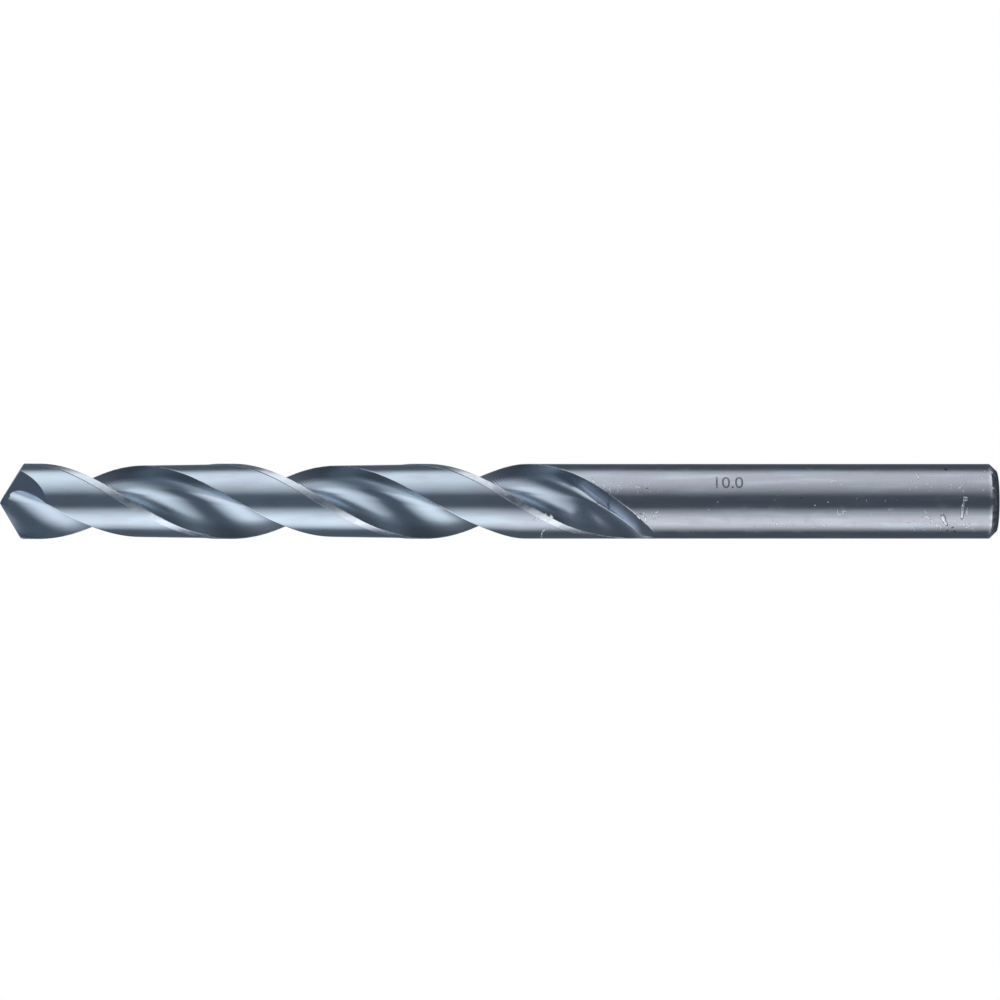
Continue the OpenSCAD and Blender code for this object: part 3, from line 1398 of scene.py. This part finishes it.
@dataclass
class WearMarks:
    """Scratches and specks that use has left on the front of the drill.

    Attributes:
        name: name of the piece.
        radius: how far from the axis they lie.
        scratches: the single marks.
        scatters: the patches of specks.
        seed: start of the random draws.
        finish: their finish.
    """

    name: str = "wear_marks"
    radius: float = SHANK_RADIUS
    scratches: tuple[Scratch, ...] = scratch_rows(
        (963.0, 505.0, 961.7, 518.5, 0.62, 0.3), (964.2, 499.5, 963.2, 508.0, 0.34, 0.5),
        (967.5, 508.0, 967.0, 516.0, 0.2), (966.0, 510.0, 967.5, 514.0, 0.16),
        (963.5, 497.5, 968.0, 497.5, 0.24, 0.4), (965.0, 500.5, 967.5, 500.0, 0.18, 0.4),
        (942.5, 515.5, 944.3, 521.5, 0.72, 0.25), (943.8, 520.0, 946.8, 525.0, 0.5, 0.25),
        (935.5, 523.5, 939.0, 528.0, 0.25), (939.5, 524.0, 941.2, 529.0, 0.25),
        (931.0, 519.5, 933.5, 524.0, 0.2), (922.0, 517.2, 930.0, 516.4, 0.2),
        (927.0, 516.5, 930.0, 519.0, 0.2), (924.5, 510.0, 927.0, 513.5, 0.16),
        (914.5, 475.5, 918.5, 474.5, 0.24), (918.6, 474.5, 918.2, 479.5, 0.2),
        (916.5, 487.5, 917.5, 486.5, 0.2), (958.5, 488.5, 961.5, 487.0, 0.18),
        (981.0, 479.0, 983.5, 476.5, 0.2), (984.0, 471.5, 986.0, 471.0, 0.18),
        (992.0, 487.5, 993.5, 488.5, 0.25), (991.0, 471.0, 992.5, 473.0, 0.2),
        (954.0, 520.0, 956.0, 522.0, 0.24), (962.5, 526.0, 965.5, 523.5, 0.3),
        (965.5, 523.5, 969.0, 524.0, 0.22), (965.0, 527.5, 969.5, 527.0, 0.2),
        (969.5, 524.5, 969.5, 527.0, 0.2), (972.0, 528.0, 975.0, 530.5, 0.14),
        (836.5, 514.5, 842.0, 514.0, 0.17), (843.0, 509.0, 843.0, 515.0, 0.22),
        (837.5, 508.5, 837.5, 513.0, 0.16), (841.5, 511.5, 847.0, 511.0, 0.16),
        (829.5, 483.0, 835.5, 480.0, 0.22), (834.0, 480.5, 838.0, 480.0, 0.17),
        (840.5, 485.0, 842.5, 484.5, 0.2), (823.0, 526.0, 825.5, 525.0, 0.28),
        (841.5, 525.0, 843.5, 525.0, 0.18), (853.0, 525.8, 854.5, 525.8, 0.26),
        (766.5, 526.0, 769.0, 525.6, 0.24), (784.0, 525.8, 786.0, 525.8, 0.2),
        (541.0, 538.0, 542.0, 532.5, 0.3, 0.4), (542.0, 532.5, 545.5, 528.8, 0.34, 0.3),
        (545.5, 528.8, 549.0, 527.8, 0.2), (551.5, 527.0, 553.5, 530.0, 0.22),
        (556.0, 528.5, 557.0, 531.0, 0.17), (538.5, 511.0, 541.0, 513.5, 0.22),
        (544.0, 514.5, 549.5, 519.0, 0.4), (547.0, 517.5, 551.0, 518.0, 0.35),
        (533.0, 514.0, 537.0, 514.5, 0.25), (541.0, 517.5, 544.5, 520.5, 0.25),
        (592.5, 480.0, 594.5, 483.5, 0.3), (603.0, 484.5, 605.5, 489.0, 0.22),
        (609.0, 488.0, 610.5, 492.0, 0.28), (618.5, 485.0, 621.0, 486.5, 0.16),
        (634.0, 486.5, 642.0, 488.0, 0.16), (645.5, 485.0, 647.5, 487.5, 0.16),
        (636.5, 514.5, 640.5, 519.0, 0.3), (645.0, 517.0, 646.0, 521.5, 0.35),
        (652.0, 517.5, 655.5, 513.5, 0.2), (656.5, 512.5, 658.0, 511.0, 0.2),
        (642.0, 513.5, 645.0, 513.0, 0.14),
    )
    scatters: tuple[Scatter, ...] = (
        Scatter((614.0, 480.0), (11.0, 4.0), 9, 0.14), Scatter((640.0, 487.0), (22.0, 5.0), 20, 0.13),
        Scatter((652.0, 515.0), (9.0, 4.0), 12, 0.14), Scatter((930.0, 482.0), (24.0, 9.0), 16, 0.13),
        Scatter((930.0, 524.0), (28.0, 6.0), 24, 0.13), Scatter((968.0, 483.0), (20.0, 9.0), 16, 0.13),
        Scatter((950.0, 526.0), (30.0, 5.0), 18, 0.12), Scatter((780.0, 525.0), (40.0, 2.5), 9, 0.14),
        Scatter((800.0, 485.0), (110.0, 12.0), 14, 0.1), Scatter((820.0, 512.0), (120.0, 14.0), 14, 0.1),
        Scatter((543.0, 517.0), (9.0, 3.5), 12, 0.2),
    )
    seed: int = 11
    finish: BareSteel | EtchedSteel = field(default_factory=BareSteel)

    def build(self) -> bpy.types.Object:
        """Make all the marks, each a low closed ridge in the surface.

        A low sphere is the pattern of every ridge, stretched along its mark and
        bent round the shank.

        Returns:
            The marks as one finished object, at the origin.
        """
        bpy.ops.object.select_all(action="DESELECT")
        bpy.ops.mesh.primitive_uv_sphere_add(segments=8, ring_count=5, radius=1.0)
        pattern = bpy.context.object
        shape = [v.co.copy() for v in pattern.data.vertices]
        faces = [tuple(f.vertices) for f in pattern.data.polygons]
        bpy.data.objects.remove(pattern, do_unlink=True)
        points, polygons = [], []
        for start, end, width, steep in self._ridges():
            middle, run = (start + end) / 2, end - start
            along = run.normalized()
            across = Vector((-along.y, along.x))
            base = len(points)
            for p in shape:
                flat = middle + along * p.x * (run.length / 2 + width / 2) + across * p.y * width / 2
                points.append(on_shank(flat.y / self.radius, self.radius + p.z * steep * width / 2, flat.x))
            polygons += [tuple(base + i for i in f) for f in faces]
        mesh = bpy.data.meshes.new(self.name)
        mesh.from_pydata(points, [], polygons)
        marks = bpy.data.objects.new(self.name, mesh)
        bpy.context.scene.collection.objects.link(marks)
        turn_outwards(marks)
        bpy.ops.object.shade_smooth()
        mesh.materials.append(self.finish.material())
        return marks

    def _ridges(self) -> list[tuple[Vector, Vector, float, float]]:
        """Work out every ridge.

        Returns:
            For each ridge both ends, as height and arc in millimetres, its width and
            its steepness.
        """
        found = [(self._flat(mark.start), self._flat(mark.end), mark.width, mark.steep)
                 for mark in self.scratches]
        chance = random.Random(self.seed)
        for patch in self.scatters:
            for _ in range(patch.count):
                spot = (patch.middle[0] + patch.reach[0] * chance.uniform(-1, 1),
                        patch.middle[1] + patch.reach[1] * chance.uniform(-1, 1))
                size = patch.size * chance.uniform(0.6, 1.6)
                turn = chance.uniform(0, math.pi)
                reach = Vector((math.cos(turn), math.sin(turn))) * size * chance.uniform(0.3, 2.2)
                middle = self._flat(spot)
                steep = chance.choice((0.07, 0.07, 0.25))
                found.append((middle - reach / 2, middle + reach / 2, size, steep))
        return found

    def _flat(self, spot: Point2) -> Vector:
        """Return a place in the frame as height and arc, in millimetres."""
        height, angle = front_place(*spot)
        return Vector((height, math.radians(angle) * self.radius))


# Bench work


def front_place(right: float, down: float) -> Point2:
    """Turn a place in the picture's thousand-unit frame into a height and an angle.

    Args:
        right: distance from the left of the frame.
        down: distance from the top of the frame.

    Returns:
        The height on the shank in millimetres and the angle from the front in degrees.
    """
    unit = VIEW_WIDTH / VIEW_UNITS
    angle = 0.0
    for _ in range(6):
        near = 1.0 - SHANK_RADIUS * math.cos(angle) / VIEW_DISTANCE
        angle = math.asin(max(-1.0, min(1.0, (AXIS_ROW - down) * unit * near / SHANK_RADIUS)))
    return (VIEW_CENTRE + (VIEW_UNITS / 2.0 - right) * unit * near, math.degrees(angle))


def on_shank(angle: float, radius: float, height: float) -> Vector:
    """Return the place at an angle from the front, in radians, a radius and a height, in metres."""
    return Vector((radius * math.sin(angle), -radius * math.cos(angle), height)) * MM


def spaced(start: float, end: float, steps: int) -> list[float]:
    """Return evenly spaced values from start to end, both included."""
    return [mix(start, end, i / steps) for i in range(steps + 1)]


def pick(*items: bpy.types.Object) -> None:
    """Select only these objects and make the first one active.

    Args:
        items: the objects.
    """
    bpy.ops.object.select_all(action="DESELECT")
    for item in items:
        item.select_set(True)
    bpy.context.view_layer.objects.active = items[0]


def turn_outwards(item: bpy.types.Object) -> None:
    """Pick an object and turn its faces outwards.

    Args:
        item: the object.
    """
    pick(item)
    bpy.ops.object.mode_set(mode="EDIT")
    bpy.ops.mesh.select_all(action="SELECT")
    bpy.ops.mesh.normals_make_consistent(inside=False)
    bpy.ops.object.mode_set(mode="OBJECT")


def select_only(item: bpy.types.Object, wanted: Callable[[bpy.types.MeshVertex], bool]) -> None:
    """Select the vertices of an object that a test picks, and the edges between them.

    Args:
        item: the object, which becomes the active one.
        wanted: the test.
    """
    pick(item)
    bpy.ops.object.mode_set(mode="EDIT")
    bpy.ops.mesh.select_all(action="DESELECT")
    bpy.ops.object.mode_set(mode="OBJECT")
    mesh = item.data
    for vertex in mesh.vertices:
        vertex.select = wanted(vertex)
    for edge in mesh.edges:
        edge.select = all(mesh.vertices[v].select for v in edge.vertices)
    for face in mesh.polygons:
        face.select = False


def bisect(item: bpy.types.Object, place: Vector, normal: Vector) -> None:
    """Cut away all of a solid that lies on the normal's side of a plane, and close the cut.

    Args:
        item: the solid.
        place: a point of the plane.
        normal: the plane's normal.
    """
    pick(item)
    bpy.ops.object.mode_set(mode="EDIT")
    bpy.ops.mesh.select_all(action="SELECT")
    bpy.ops.mesh.bisect(plane_co=place, plane_no=normal, use_fill=True, clear_outer=True, threshold=1e-7)
    bpy.ops.object.mode_set(mode="OBJECT")


def drop_faces(item: bpy.types.Object, wanted: Callable[[bpy.types.MeshPolygon], bool]) -> None:
    """Delete the faces of an object that a test picks.

    Args:
        item: the object.
        wanted: the test.
    """
    pick(item)
    bpy.ops.object.mode_set(mode="EDIT")
    bpy.ops.mesh.select_mode(type="FACE")
    bpy.ops.mesh.select_all(action="DESELECT")
    bpy.ops.object.mode_set(mode="OBJECT")
    for face in item.data.polygons:
        face.select = wanted(face)
    bpy.ops.object.mode_set(mode="EDIT")
    bpy.ops.mesh.delete(type="ONLY_FACE")
    bpy.ops.mesh.select_mode(type="VERT")
    bpy.ops.object.mode_set(mode="OBJECT")


# The studio


@dataclass(frozen=True)
class Strip:
    """A tall soft lamp beside the drill.

    Attributes:
        name: name of the lamp.
        bearing: where its middle stands, in degrees from the camera, seen from above.
        half_width: half the angle that it fills from side to side, in degrees.
        half_height: half the angle that it fills up and down, in degrees.
        raised: how far its middle stands over the drill's, in degrees.
        soft_inner: the share of its width over which it brightens from the edge by the camera.
        soft_outer: the share of its width over which it fades to the other edge.
        soft_low: the share of its height over which its lower end fades.
        soft_high: the share of its height over which its upper end fades.
        sag: the share of its brightness that is left at its lower end.
        level: its brightness, where 1 is white.
        inner_first: whether the inner edge is at the low end of its width.
    """

    name: str
    bearing: float
    half_width: float
    half_height: float
    raised: float
    soft_inner: float
    soft_outer: float
    soft_low: float
    soft_high: float
    sag: float
    level: float
    inner_first: bool


@dataclass
class Studio:
    """Floor, backdrop, tent, lamps and camera.

    Attributes:
        axis_below_middle: how far the drill's axis lies below the picture's middle.
        lamp_distance: distance of the lamps from the axis, in metres.
        tent_radius: radius of the tent, in metres.
        floor_radius: radius of the floor, in metres.
        dim: colour of the tent's cloth.
        backcloth: colour of the tent behind the drill.
        soft_light: grey of the world's own light on the drill.
        contact_reach: how far from the drill the floor is shaded, in millimetres.
        contact_grey: grey of the painted contact shadow there.
        strips: the lamps.
    """

    axis_below_middle: float = 0.173
    lamp_distance: float = 0.5
    tent_radius: float = 1.6
    floor_radius: float = 0.4
    dim: Colour = (0.105, 0.125, 0.15)
    backcloth: Colour = (0.43, 0.45, 0.47)
    soft_light: float = 0.4
    contact_reach: float = 0.6
    contact_grey: float = 0.9
    strips: tuple[Strip, ...] = (
        Strip("strip_above", bearing=65.5, half_width=48.5, half_height=43.4, raised=14.1,
              soft_inner=0.5, soft_outer=0.28, soft_low=0.08, soft_high=0.55,
              sag=0.62, level=1.02, inner_first=True),
        Strip("strip_below", bearing=-62.5, half_width=42.5, half_height=46.0, raised=-3.6,
              soft_inner=0.457, soft_outer=0.35, soft_low=0.42, soft_high=0.2,
              sag=1.0, level=1.1, inner_first=False),
    )

    def build(self) -> None:
        """Build everything that surrounds the drill."""
        self.place_camera()
        self.light_world()
        self.lay_floor()
        self.raise_tent()
        for strip in self.strips:
            self.hang_strip(strip)

    def place_camera(self) -> None:
        """Place the camera square to the drill, on its side, with the point to the left."""
        data = bpy.data.cameras.new("camera")
        data.sensor_width = 36.0
        data.lens = data.sensor_width * VIEW_DISTANCE / VIEW_WIDTH
        data.clip_start = 0.01
        data.clip_end = 20.0
        camera = bpy.data.objects.new("camera", data)
        bpy.context.scene.collection.objects.link(camera)
        axes = Matrix(((0, 1, 0), (0, 0, -1), (-1, 0, 0))).to_4x4()
        place = Vector((self.axis_below_middle, -VIEW_DISTANCE, VIEW_CENTRE)) * MM
        camera.matrix_world = Matrix.Translation(place) @ axes
        bpy.context.scene.camera = camera

    def light_world(self) -> None:
        """Give the world its white background and a low soft light."""
        world = bpy.data.worlds.new("studio")
        bpy.context.scene.world = world
        world.use_nodes = True
        sheet = NodeSheet(world.node_tree)
        seen = sheet.add("ShaderNodeLightPath")
        direct = sheet.math("MAXIMUM", seen.outputs["Is Camera Ray"], seen.outputs["Is Glossy Ray"])
        direct = sheet.math("MAXIMUM", direct, seen.outputs["Is Transmission Ray"])
        light = sheet.add("ShaderNodeBackground")
        sheet.put(sheet.blend(direct, grey(self.soft_light), grey(1.0)), light.inputs["Color"])
        sheet.close(light, "ShaderNodeOutputWorld")

    def lay_floor(self) -> None:
        """Lay the pale floor that the drill stands on."""
        bpy.ops.object.select_all(action="DESELECT")
        bpy.ops.mesh.primitive_circle_add(vertices=96, radius=self.floor_radius, fill_type="NGON")
        floor = bpy.context.object
        floor.name = "floor"
        material, sheet = NodeSheet.of_material("pale_floor")
        # Camera rays see white emission, with a painted contact shadow from the AO node near the drill
        shade = sheet.add("ShaderNodeAmbientOcclusion", samples=8)
        shade.inputs["Distance"].default_value = self.contact_reach * MM
        near = sheet.ramp(shade.outputs["AO"], 0.3, 0.95, soft=False)
        white = sheet.add("ShaderNodeEmission")
        sheet.put(sheet.blend(near, grey(self.contact_grey), grey(1.0)), white.inputs["Color"])
        matt = sheet.add("ShaderNodeBsdfDiffuse")
        matt.inputs["Color"].default_value = (0.8, 0.8, 0.8, 1.0)
        seen = sheet.add("ShaderNodeLightPath")
        both = sheet.add("ShaderNodeMixShader")
        sheet.put(seen.outputs["Is Camera Ray"], both.inputs[0])
        sheet.put(matt.outputs[0], both.inputs[1])
        sheet.put(white.outputs[0], both.inputs[2])
        sheet.close(both)
        floor.data.materials.append(material)
        floor.visible_glossy = False

    def raise_tent(self) -> None:
        """Raise the dim tent that the metal mirrors, a little lighter behind the drill."""
        bpy.ops.object.select_all(action="DESELECT")
        bpy.ops.mesh.primitive_uv_sphere_add(segments=120, ring_count=60, radius=self.tent_radius,
                                             location=(0, 0, VIEW_CENTRE * MM))
        tent = bpy.context.object
        tent.name = "tent"
        bpy.ops.object.transform_apply(location=True, rotation=False, scale=False)
        material, sheet = NodeSheet.of_material("tent_cloth")
        glow = sheet.add("ShaderNodeEmission")
        place = sheet.add("ShaderNodeTexCoord").outputs["Object"]
        parts = sheet.add("ShaderNodeSeparateXYZ")
        sheet.put(place, parts.inputs[0])
        folds = sheet.noise(place, 1.2, 1.0)
        cloth = sheet.blend(folds, tuple(0.8 * c for c in self.dim), tuple(1.2 * c for c in self.dim))
        behind = sheet.ramp(parts.outputs[1], 0.9 * self.tent_radius, 0.99 * self.tent_radius)
        sheet.put(sheet.blend(behind, cloth, self.backcloth), glow.inputs["Color"])
        sheet.close(glow)
        tent.data.materials.append(material)
        tent.visible_camera = False
        tent.visible_shadow = False

    def hang_strip(self, strip: Strip) -> None:
        """Hang one tall lamp, facing the drill.

        Args:
            strip: the lamp.
        """
        data = bpy.data.lights.new(strip.name, "AREA")
        data.shape = "RECTANGLE"
        data.size = 2.0 * self.lamp_distance * math.tan(math.radians(strip.half_width))
        data.size_y = 2.0 * self.lamp_distance * math.tan(math.radians(strip.half_height))
        data.energy = strip.level * math.pi * data.size * data.size_y
        data.use_nodes = True
        self._shade_strip(NodeSheet(data.node_tree), strip)
        lamp = bpy.data.objects.new(strip.name, data)
        bpy.context.scene.collection.objects.link(lamp)
        angle = math.radians(strip.bearing)
        back, up = Vector((math.sin(angle), -math.cos(angle), 0.0)), Vector((0, 0, 1))
        axes = Matrix((up.cross(back), up, back)).transposed().to_4x4()
        height = VIEW_CENTRE * MM + self.lamp_distance * math.tan(math.radians(strip.raised))
        lamp.matrix_world = Matrix.Translation(back * self.lamp_distance + up * height) @ axes
        lamp.visible_camera = False

    def _shade_strip(self, sheet: NodeSheet, strip: Strip) -> None:
        """Give a lamp its soft edges.

        Args:
            sheet: the lamp's nodes.
            strip: the lamp.
        """
        where = sheet.add("ShaderNodeNewGeometry").outputs["Parametric"]
        parts = sheet.add("ShaderNodeSeparateXYZ")
        sheet.put(where, parts.inputs[0])
        inner, outer = (0.0, 1.0) if strip.inner_first else (1.0, 0.0)
        way = outer - inner
        rise = sheet.ramp(parts.outputs[0], inner, inner + way * strip.soft_inner, soft=False)
        fall = sheet.ramp(parts.outputs[0], outer, outer - way * strip.soft_outer, soft=False)
        across = sheet.math("MULTIPLY", rise, fall)
        low = sheet.ramp(parts.outputs[1], 0.0, strip.soft_low)
        low = sheet.math("MULTIPLY", low, sheet.ramp(parts.outputs[1], 0.0, 0.5, strip.sag, 1.0, soft=False))
        high = sheet.ramp(parts.outputs[1], 1.0, 1.0 - strip.soft_high)
        glow = sheet.add("ShaderNodeEmission")
        sheet.put(sheet.math("MULTIPLY", across, sheet.math("MULTIPLY", low, high)), glow.inputs["Strength"])
        sheet.close(glow, "ShaderNodeOutputLight")


def set_view() -> None:
    """Show colours as they are written."""
    bpy.context.scene.view_settings.view_transform = "Standard"


def dress(piece: bpy.types.Object, node: str | None) -> None:
    """Hang a piece on the drill's body.

    Args:
        piece: the finished piece.
        node: the CAD node that it stands for, if any.
    """
    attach(piece, "root")
    if node:
        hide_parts(node)
    LOG.info("%s: %d faces", piece.name, len(piece.data.polygons))


def main() -> None:
    """Load the frame, and build the drill, its marks and its studio."""
    logging.basicConfig(level=logging.INFO, format="%(name)s: %(message)s")
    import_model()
    set_view()
    dress(DrillBit().build(), "drill_bit")
    dress(SizeMark().build(), None)
    dress(WearMarks().build(), None)
    # The dents are darkened: painted shade in the nicks
    shade = EtchedSteel("dent_shade", grey(0.06), grey(0.12))
    dress(WearMarks("dents", scratches=DENTS, scatters=(), finish=shade).build(), None)
    Studio().build()


if __name__ == "__main__":
    main()
